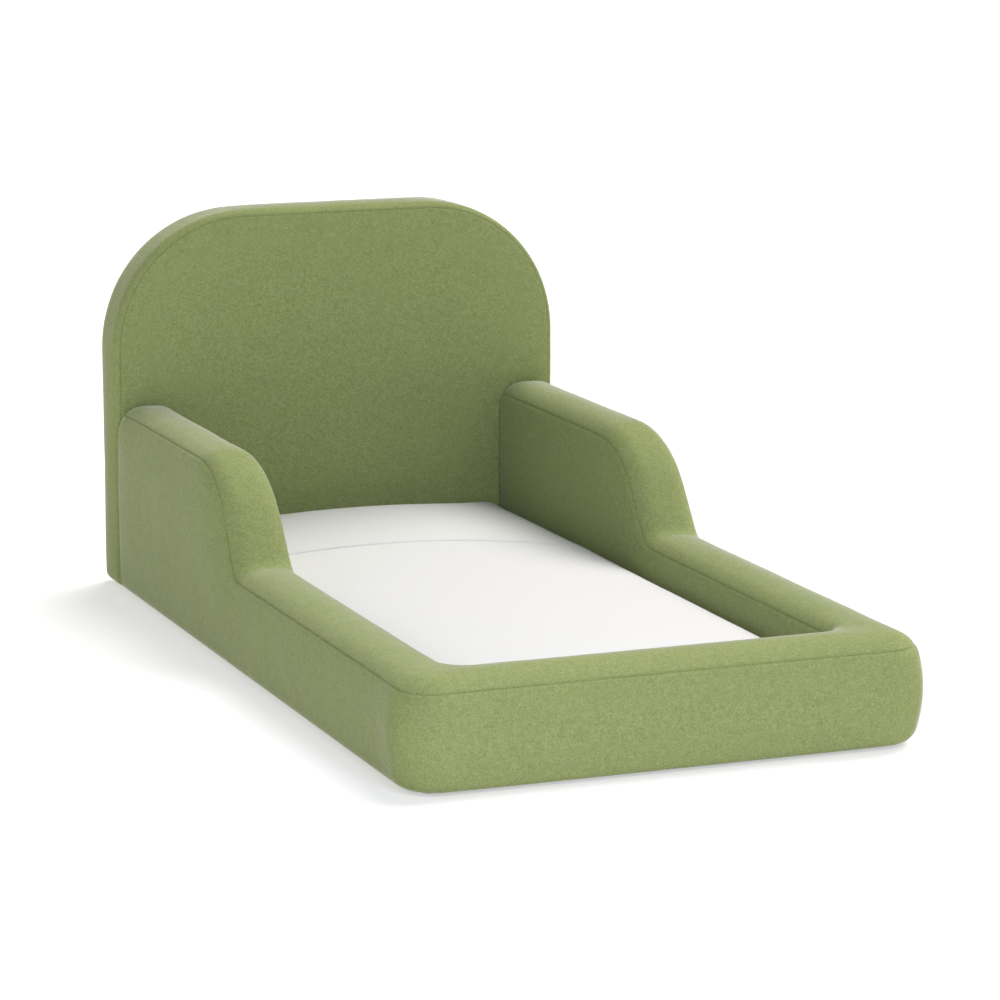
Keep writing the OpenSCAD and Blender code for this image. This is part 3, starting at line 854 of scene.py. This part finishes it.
# The cloth starts this far inside its space, outside and on top, and on the inner faces by the mattress
SIDE_INSET = 0.5
INNER_INSET = 3
SURROUND_SWELL = 5
# The arms' top edges are rounder than EDGE_R, and their tops are filled higher
ARM_EDGE_R = 42
ARM_FILL = 4
# Rounding of an arm's end, in side view and in plan
ARM_END_R = 27
ARM_END_IN = 14
# How far the stuffing fills out the top, the sides and the two corners at the foot, and a corner's reach
TOP_CROWN = 7
SIDE_BULGE = 2
CORNER_BULGE = 17
CORNER_SPREAD = 105
# Rounding of the outer bottom edge
SIDE_BASE_R = 20
CORNER_BASE_R = 23
# Where the corner zone starts on a side and on the foot, measured from the corner
CORNER_ZONE = 370
# Places of the seams round the top edges, up from the side
RAIL_SEAM = math.radians(30)
ARM_SEAM = math.radians(46)
# The inner cloth turns in under its foam FOLD_RISE above the skirt, and is free from FOLD_ROOM above that.
# The fold's middle row is FOLD_IN of the way to the bare board and FOLD_LOW above the skirt
FOLD_RISE = 8
FOLD_ROOM = 6
FOLD_IN = 0.35
FOLD_LOW = 2
# Rows on the bare board, measured down from the skirt
BARE_DROPS = (1, 12, 28)
# Numbers of stations along the surround and of rows across it
END_STATIONS = 10
ARM_STATIONS = 48
SHOULDER_STATIONS = 20
SLOPE_STATIONS = 8
TOE_STATIONS = 8
RAIL_STATIONS = 52
CORNER_STATIONS = 66
FOOT_STATIONS = 12
SIDE_ROWS = 22
BAND_ROWS = 8
EDGE_STEPS = 3
BASE_STEPS = 5

# What a station of the path holds: a point and an outward normal on its outer and on its inner edge, the
# direction that the path runs in, the height and slope of its top, how far its end is rounded in, and how
# full it is, from 0 on a straight to 1 in the middle of a corner
OUTER, OUTER_N, INNER, INNER_N, RUN = (slice(k, k + 2) for k in (0, 2, 4, 6, 8))
TOP, SLOPE, END_IN, FULL = 10, 11, 12, 13


def station(outer, outer_n, inner, inner_n, run, top, slope=0.0, end_in=0.0, full=0.0):
    return (*outer, *outer_n, *inner, *inner_n, *run, top, slope, end_in, full)


def with_mirror(stations):
    """Every station, then their mirror images from the centre line back to the left arm's end."""
    rows = np.array(stations)
    flip = rows[-2::-1].copy()
    for part in (OUTER, OUTER_N, INNER, INNER_N):
        flip[:, part.start] *= -1
    flip[:, RUN.start + 1] *= -1
    flip[:, SLOPE] *= -1
    return np.concatenate([rows, flip])


def top_stations():
    """[distance from the headboard, height, slope] along a side, from the headboard to past the step."""
    drop = ARM_H - RAIL_H
    turn = (SHOULDER_R + TOE_R) * (1 - math.cos(STEP_ANGLE))
    slope_len = (drop - turn) / math.sin(STEP_ANGLE)
    step_end = ARM_LEN + (SHOULDER_R + TOE_R) * math.sin(STEP_ANGLE) + slope_len * math.cos(STEP_ANGLE)
    rows = []
    for a in np.linspace(0, math.pi / 2, END_STATIONS):
        rows.append((ARM_END_R * (1 - math.cos(a)), ARM_H - ARM_END_R * (1 - math.sin(a)), 0))
    for d in np.linspace(ARM_END_R, ARM_LEN, ARM_STATIONS)[1:]:
        rows.append((d, ARM_H, 0))
    for a in np.linspace(0, STEP_ANGLE, SHOULDER_STATIONS)[1:]:
        rows.append((ARM_LEN + SHOULDER_R * math.sin(a), ARM_H - SHOULDER_R * (1 - math.cos(a)), a))
    start = rows[-1]
    for k in range(1, SLOPE_STATIONS):
        s = slope_len * k / SLOPE_STATIONS
        rows.append((start[0] + s * math.cos(STEP_ANGLE), start[1] - s * math.sin(STEP_ANGLE), STEP_ANGLE))
    for a in np.linspace(STEP_ANGLE, 0, TOE_STATIONS):
        rows.append((step_end - TOE_R * math.sin(a), RAIL_H + TOE_R * (1 - math.cos(a)), a))
    return rows, step_end


def corner_track(corner_in, radius):
    """Points, outward normals and directions down a side, round a corner and along the foot, evenly
    spaced. The corner's arc has its centre corner_in from both edges of the bed."""
    reach = CORNER_ZONE - corner_in
    centre = np.array([HALF_W - corner_in, FOOT_Y + corner_in])
    arc = radius * math.pi / 2
    points, normals, runs = [], [], []
    for s in np.linspace(0, 2 * reach + arc, CORNER_STATIONS):
        if s < reach:
            angle, along = 0.0, np.array([0, reach - s])
        elif s > reach + arc:
            angle, along = math.pi / 2, np.array([-(s - reach - arc), 0])
        else:
            angle, along = (s - reach) / radius, np.zeros(2)
        normal = np.array([math.cos(angle), -math.sin(angle)])
        points.append(centre + radius * normal + along)
        normals.append(normal)
        runs.append(np.array([-math.sin(angle), -math.cos(angle)]))
    return points, normals, runs


def surround_path():
    """Stations from the right arm's end at the headboard to the middle of the foot, then mirrored."""
    rows, step_end = top_stations()
    zone_d = FACE_Y - FOOT_Y - CORNER_ZONE
    rows += [(d, RAIL_H, 0) for d in np.linspace(step_end, zone_d, RAIL_STATIONS)[1:-1]]
    path = []
    for d, top, slope in rows:
        t = max(0.0, 1 - d / ARM_END_IN)
        end_in = ARM_END_IN * (1 - math.sqrt(1 - t * t))
        outer, inner = (HALF_W, FACE_Y - d), (HALF_W - RAIL_W, FACE_Y - d)
        path.append(station(outer, (1, 0), inner, (-1, 0), (0, -1), top, slope, end_in))
    outer, outer_n, run = corner_track(CORNER_R, CORNER_R)
    inner, inner_n, _ = corner_track(RAIL_W + INNER_CORNER_R, INNER_CORNER_R)
    length = 2 * (CORNER_ZONE - CORNER_R) + CORNER_R * math.pi / 2
    for k in range(CORNER_STATIONS):
        from_middle = (k / (CORNER_STATIONS - 1) - 0.5) * length
        full = math.exp(-(from_middle / CORNER_SPREAD) ** 2)
        path.append(station(outer[k], outer_n[k], inner[k], -inner_n[k], run[k], RAIL_H, full=full))
    for x in np.linspace(HALF_W - CORNER_ZONE, 0, FOOT_STATIONS)[1:]:
        path.append(station((x, FOOT_Y), (0, -1), (x, FOOT_Y + RAIL_W), (0, 1), (-1, 0), RAIL_H))
    return with_mirror(path)


def seam_angles(seam_angle, radius):
    """Angles round a top edge of the surround, from its side to its top, with close rows at the seam."""
    rows = [row / radius for row in SEAM_ROWS]
    low = [seam_angle - r for r in reversed(rows)]
    high = [seam_angle + r for r in rows]
    last = high[-1]
    after = [last + (math.pi / 2 - last) * (k + 1) / EDGE_STEPS for k in range(EDGE_STEPS)]
    return [np.zeros_like(seam_angle), low[0] / 2, *low, seam_angle, *high, *after]


def inner_shares(count):
    """Shares between 0 and 1 that cut a stretch with the given number of rows."""
    return np.linspace(0, 1, count + 2)[1:-1]


def surround_sections(path):
    """The points of every section of the surround, as rows along the path: [station, row, 3], with each
    row's distance from its nearest seam and whether the cloth is free there."""
    outer, outer_n, inner, inner_n, run = (path[:, part] for part in (OUTER, OUTER_N, INNER, INNER_N, RUN))
    top, slope, full = path[:, TOP], path[:, SLOPE], path[:, FULL]
    inset = SIDE_INSET + path[:, END_IN]
    lift = np.clip((top - RAIL_H) / (ARM_H - RAIL_H), 0, 1)
    top = top + ARM_FILL * lift
    corner = EDGE_R + (ARM_EDGE_R - EDGE_R) * lift
    edge_r = corner - inset
    seam = RAIL_SEAM + (ARM_SEAM - RAIL_SEAM) * lift
    bulge = SIDE_BULGE + (CORNER_BULGE - SIDE_BULGE) * full
    base_r = SIDE_BASE_R + (CORNER_BASE_R - SIDE_BASE_R) * full

    def crown(s):
        return TOP_CROWN * (1 - (2 * s / RAIL_W - 1) ** 2)

    def edge_line(inside, s):
        return inner - inner_n * s[:, None] if inside else outer - outer_n * s[:, None]

    def under_top(inside, s, q):
        """Points s in from the side and q under the top, along the section's own slant."""
        q = q - crown(s)
        xy = edge_line(inside, s) - run * (q * np.sin(slope))[:, None]
        place = np.column_stack([xy, top - q * np.cos(slope)])
        return place if inside else filled_out(place)

    def at_height(inside, s, z):
        xy = edge_line(inside, s) - run * (corner * np.sin(slope))[:, None]
        place = np.column_stack([xy, z * np.ones(len(top))])
        return place if inside else filled_out(place)

    def filled_out(place):
        height = np.clip((place[:, 2] - BOTTOM_Z) / (top - BOTTOM_Z), 0, 1)
        place[:, :2] += outer_n * (bulge * np.sin(math.pi * height))[:, None]
        return place

    rows, seam_distance, free = [], [], []

    def put(place, distance=FAR, loose=True):
        rows.append(place)
        seam_distance.append(distance)
        free.append(loose)

    # Underside, rounded outer base and outer side
    base_z = BOTTOM_Z + base_r
    side_top = top - corner * np.cos(slope)
    bare = (RAIL_W - BARE_S) * np.ones(len(top))
    inner_edge = at_height(True, bare, BOTTOM_Z)
    outer_edge = at_height(False, inset + base_r, BOTTOM_Z)
    for share in (0, 0.25, 0.5, 0.75):
        put(inner_edge + (outer_edge - inner_edge) * share, loose=False)
    for a in np.linspace(math.pi / 2, 0, BASE_STEPS):
        base_in = inset + base_r * (1 - math.cos(a))
        put(at_height(False, base_in, base_z - base_r * math.sin(a)), loose=a == 0)
    for share in inner_shares(SIDE_ROWS):
        put(at_height(False, inset, base_z + (side_top - base_z) * share))

    # Outer top edge, crowned top and inner top edge
    distances = [FAR, FAR, *reversed(SEAM_ROWS), 0, *SEAM_ROWS, *[FAR] * EDGE_STEPS]
    for a, d in zip(seam_angles(seam, EDGE_R - SIDE_INSET), distances):
        put(under_top(False, corner - edge_r * np.cos(a), corner - edge_r * np.sin(a)), d)
    first, last = under_top(False, corner, inset), under_top(True, corner, inset)
    for share in inner_shares(BAND_ROWS):
        rise = crown(corner + (RAIL_W - 2 * corner) * share) - crown(corner)
        lifted = np.column_stack([run * (rise * np.sin(slope))[:, None], rise * np.cos(slope)])
        put(first + (last - first) * share + lifted)
    inner_angles = seam_angles(RAIL_SEAM * np.ones(len(top)), EDGE_R - SIDE_INSET)
    for a, d in zip(reversed(inner_angles), reversed(distances)):
        tuck = (INNER_INSET - SIDE_INSET) * np.cos(a)
        put(under_top(True, corner - edge_r * np.cos(a) + tuck, corner - edge_r * np.sin(a)), d)

    # Inner side, its fold under the foam, and the bare board behind the skirt
    fold_z = SKIRT_Z + FOLD_RISE
    inner_inset = inset + INNER_INSET - SIDE_INSET
    for share in inner_shares(SIDE_ROWS):
        put(at_height(True, inner_inset, side_top + (fold_z + FOLD_ROOM - side_top) * share))
    put(at_height(True, inner_inset, fold_z), loose=False)
    put(at_height(True, inner_inset + (bare - inner_inset) * FOLD_IN, SKIRT_Z + FOLD_LOW), loose=False)
    for drop in BARE_DROPS:
        put(at_height(True, bare, SKIRT_Z - drop), loose=False)
    return np.stack(rows, axis=1), np.array(seam_distance, float), np.array(free)


# The cloth is held where an arm's end is rounded in by more than this
END_HELD = 0.5
# The row, as a share of all rows, about which an arm's end face is folded into quads
END_FOLD = 0.53


def end_faces(section):
    """The flat end of an arm, from one section's point numbers."""
    rows = len(section)
    loop = np.roll(section, -round(rows * END_FOLD)).tolist()
    faces = []
    for k in range(rows // 2 - 1):
        faces.append((loop[k], loop[k + 1], loop[rows - 2 - k], loop[rows - 1 - k]))
    if rows % 2:
        faces.append(tuple(loop[rows // 2 - 1: rows // 2 + 2]))
    return faces


def make_surround():
    path = surround_path()
    sections, row_distance, row_free = surround_sections(path)
    stations, rows = sections.shape[:2]
    numbers = np.arange(stations * rows).reshape(stations, rows)
    faces = []
    for first, second in zip(numbers, numbers[1:]):
        faces += quads_between(first, second)
    faces += end_faces(numbers[0]) + end_faces(numbers[-1])
    seams = numbers[:, row_distance == 0].T
    creases = [edge for seam in seams for edge in zip(seam, seam[1:])]
    piece = mesh_object("surround", sections.reshape(-1, 3), faces, creases)
    distance = np.tile(row_distance, stations)
    at_end = np.repeat(path[:, END_IN] > END_HELD, rows)
    held = (distance < HELD_BY_SEAM) | ~np.tile(row_free, stations) | at_end
    finish_soft(piece, held, distance, SURROUND_SWELL, seed=23)
    piece.data.materials.append(GREEN)
    return piece


# ---- mattress

# The cloth starts this far inside its space, and a little lower and shorter
MATTRESS_IN = 4
MATTRESS_LOWER = 2
MATTRESS_SHORTER = 1
MATTRESS_EDGE_R = 22
MATTRESS_CORNER_R = 45
MATTRESS_SWELL = 4
MATTRESS_SEAM_DEPTH = 5.5
# Points across, and the steps between rows along the mattress and up its side
MATTRESS_ACROSS = 64
LENGTH_STEP = 11
SIDE_STEP = 9
# The domed top rises by CROWN, and comes down over END_BLEND at each end
CROWN = 24
END_BLEND = 120
# The cross seam: its place, its slant and how far along the mattress the slant reaches
CROSS_SEAM_Y = FACE_Y - 478
CROSS_SKEW = -0.175
SKEW_REACH = 150
# The cloth is held this near to a seam, and this far up from the underside
HELD_BY_PAD_SEAM = 2
HELD_BASE = 3


def make_mattress():
    half = (mattress_high[0] - mattress_low[0]) / 2 - MATTRESS_IN
    low_y, high_y = mattress_low[1] + MATTRESS_IN, mattress_high[1] - MATTRESS_IN - MATTRESS_SHORTER
    low_z, edge_z = mattress_low[2], mattress_high[2] - MATTRESS_LOWER - CROWN
    height = edge_z - low_z
    corner_arc = MATTRESS_CORNER_R * math.pi / 4
    length = high_y - low_y - 2 * MATTRESS_CORNER_R + 2 * corner_arc
    cross_at = CROSS_SEAM_Y - low_y - MATTRESS_CORNER_R + corner_arc
    outline = Outline(
        half, low_y, high_y, MATTRESS_CORNER_R, MATTRESS_CORNER_R,
        np.linspace(0, 1, MATTRESS_ACROSS), with_seams(0, length, LENGTH_STEP, (cross_at,)) / length)
    r = MATTRESS_EDGE_R
    quarter = math.pi * r / 2
    wall = height - 2 * r
    side_seam = quarter + wall / 2
    lines = with_seams(0, 2 * quarter + wall, SIDE_STEP, (side_seam,))
    profile = []
    for line in lines:
        if line < quarter:
            a = line / r
            profile.append((r - r * math.sin(a), low_z + r - r * math.cos(a)))
        elif line < quarter + wall:
            profile.append((0, low_z + r + line - quarter))
        else:
            a = (line - quarter - wall) / r
            profile.append((r - r * math.cos(a), edge_z - r + r * math.sin(a)))

    def place(plan, depth):
        x, y = plan[:, 0], plan[:, 1]
        across = 1 - np.clip(abs(x) / (half - r), 0, 1) ** 2
        near_end = np.clip(np.minimum(y - low_y - r, high_y - r - y) / END_BLEND, 0, 1)
        along = 1 - (1 - near_end) ** 2
        top = np.where(depth > edge_z - TOUCHING, CROWN * across * along, 0)
        return np.column_stack([x, y, depth + top])

    points, faces, level = ringed_solid(outline, profile, place)
    side_ring = nearest(lines, side_seam)
    side_distance = abs(line_of_points(lines, level) - lines[side_ring])
    past_seam = points[:, 1] - CROSS_SEAM_Y
    above = points[:, 2] > low_z + height / 2
    cross_distance = np.where(above, abs(past_seam), FAR)
    distance = np.minimum(side_distance, cross_distance)
    on_cross = cross_distance < TOUCHING
    creases = ring_creases(len(outline.points), side_ring)
    for face in faces:
        creases += [(a, b) for a, b in zip(face, face[1:] + face[:1]) if on_cross[a] and on_cross[b]]
    points[:, 1] += CROSS_SKEW * points[:, 0] * np.exp(-(past_seam / SKEW_REACH) ** 2)
    piece = mesh_object("mattress_pad", points, faces, creases)
    held = (distance < HELD_BY_PAD_SEAM) | (points[:, 2] < low_z + HELD_BASE)
    finish_soft(piece, held, distance, MATTRESS_SWELL, seed=37, seam_depth=MATTRESS_SEAM_DEPTH)
    piece.data.materials.append(WHITE)
    return piece, make_thread(get_points(piece)[on_cross])


THREAD_R = 0.9
THREAD_SIDES = 8
STITCH = 5.5
STITCH_RISE = 0.5
POINTS_PER_STITCH = 6
# How far the thread lies under the cloth beside the seam
THREAD_SINK = 1.2


def make_thread(seam_points):
    """The run of stitches that closes the mattress cover across its top. Their dark colour is painted
    shade of the seam's gap.
    """
    line = seam_points[np.argsort(seam_points[:, 0])]
    run = np.concatenate([[0], np.cumsum(np.linalg.norm(np.diff(line, axis=0), axis=1))])
    steps = np.arange(0, run[-1], STITCH / POINTS_PER_STITCH)
    path = np.column_stack([np.interp(steps, run, line[:, k]) for k in range(3)])
    path[:, 2] += MATTRESS_SEAM_DEPTH - THREAD_SINK + STITCH_RISE * abs(np.sin(math.pi * steps / STITCH))
    heading = np.gradient(path, axis=0)
    heading /= np.linalg.norm(heading, axis=1, keepdims=True)
    side = np.cross(heading, (0, 0, 1))
    side /= np.linalg.norm(side, axis=1, keepdims=True)
    rise = np.cross(side, heading)
    turns = np.arange(THREAD_SIDES) * 2 * math.pi / THREAD_SIDES
    round_a, round_b = np.cos(turns)[None, :, None], np.sin(turns)[None, :, None]
    points = path[:, None] + THREAD_R * (round_a * side[:, None] + round_b * rise[:, None])
    rings = np.arange(points.size // 3).reshape(-1, THREAD_SIDES)
    faces = []
    for first, second in zip(rings, rings[1:]):
        faces += quads_between(first, second)
    faces += [tuple(rings[0].tolist()), tuple(rings[-1, ::-1].tolist())]
    thread = mesh_object("mattress_stitching", points.reshape(-1, 3), faces)
    thread.data.materials.append(SEAM_SHADE_THREAD)
    return thread


# ---- the soft pieces on their bodies

headboard = make_headboard()
surround = make_surround()
mattress, stitching = make_mattress()

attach(headboard, "bed_frame")
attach(surround, "bed_frame")
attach(mattress, "mattress")
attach(stitching, "mattress")
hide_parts("headboard_cover", "headboard_front_foam", "headboard_edge_foam",
            "headboard_back_foam")
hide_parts("surround_cover", "left_foam", "right_foam", "foot_foam")
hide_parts("mattress_cover", "mattress_core")

# ---- floor

# Half the floor's width, in metres
FLOOR_REACH = 60
FLOOR_GLOW = 0.5


def make_floor():
    """A white floor that glows a little, as a lit studio table does, so that its shadows stay pale."""
    corners = [(FLOOR_REACH * x, FLOOR_REACH * y, 0) for x, y in ((-1, -1), (1, -1), (1, 1), (-1, 1))]
    mesh = bpy.data.meshes.new("floor")
    mesh.from_pydata(corners, [], [(0, 1, 2, 3)])
    floor = bpy.data.objects.new("floor", mesh)
    s = Shader("studio_floor", 0.9, Specular_IOR_Level=0.0, Emission_Color=(1, 1, 1, 1),
               Emission_Strength=FLOOR_GLOW)
    tone = s.remap(s.noise(1.5, 1), 0.3, 0.7)
    mesh.materials.append(s.finish(s.mix(tone, (0.595, 0.595, 0.595), (0.605, 0.605, 0.605))))
    scene.collection.objects.link(floor)


make_floor()
